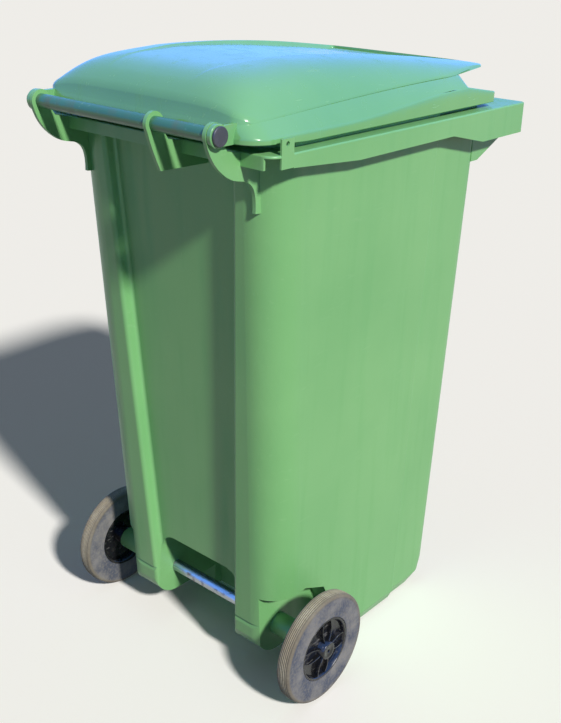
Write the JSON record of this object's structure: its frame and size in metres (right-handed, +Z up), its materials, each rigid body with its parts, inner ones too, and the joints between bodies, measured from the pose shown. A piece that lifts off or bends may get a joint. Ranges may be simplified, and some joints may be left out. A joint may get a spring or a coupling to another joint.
{
  "type": "wheeled litter bin",
  "caption": "Two-wheeled litter bin: tapered tub with lifting rim, domed lid hinged on a grip tube, steel axle with rubber-tyred wheels.",
  "frame": {"origin": "on the floor, under the middle of the overall box", "axes": "+Z up; +X along the axle towards the far wheel; +Y towards the grip tube, -Y towards the lifting rim"},
  "size_m": [0.5446, 0.73, 1.0543],
  "materials": {
    "green_body": "moulded, semi-gloss, sun-bleached and dusty",
    "green_lid": "moulded, semi-gloss",
    "green_grip": "smooth, handled",
    "charcoal_cap": "moulded, scratched",
    "zinc_steel": "zinc-plated, dulled",
    "rubber_tyre": "solid rubber, dusty brown tread",
    "black_hub": "moulded, glossy, scuffed",
    "spring_steel": "plain"
  },
  "bodies": {
    "tub": {"tub": "green_body", "grip_tube": "green_grip", "grip_cap_near": "charcoal_cap", "grip_cap_far": "charcoal_cap", "axle": "zinc_steel"},
    "lid": {"lid": "green_lid"},
    "wheel_near": {"tyre_near": "rubber_tyre", "hub_near": "black_hub", "wheel_latch_near": "spring_steel"},
    "wheel_far": {"tyre_far": "rubber_tyre", "hub_far": "black_hub", "wheel_latch_far": "spring_steel"}
  },
  "joints": [
    {"name": "lid_hinge", "type": "hinge", "parent": "tub", "child": "lid", "pos_m": [0, 0.3484, 0.9756], "axis": [-1, 0, 0], "range_deg": [0, 210]},
    {"name": "wheel_near_spin", "type": "hinge", "parent": "tub", "child": "wheel_near", "pos_m": [-0.2525, 0.1674, 0.1], "axis": [1, 0, 0], "continuous": true},
    {"name": "wheel_far_spin", "type": "hinge", "parent": "tub", "child": "wheel_far", "pos_m": [0.2525, 0.1674, 0.1], "axis": [1, 0, 0], "continuous": true}
  ]
}
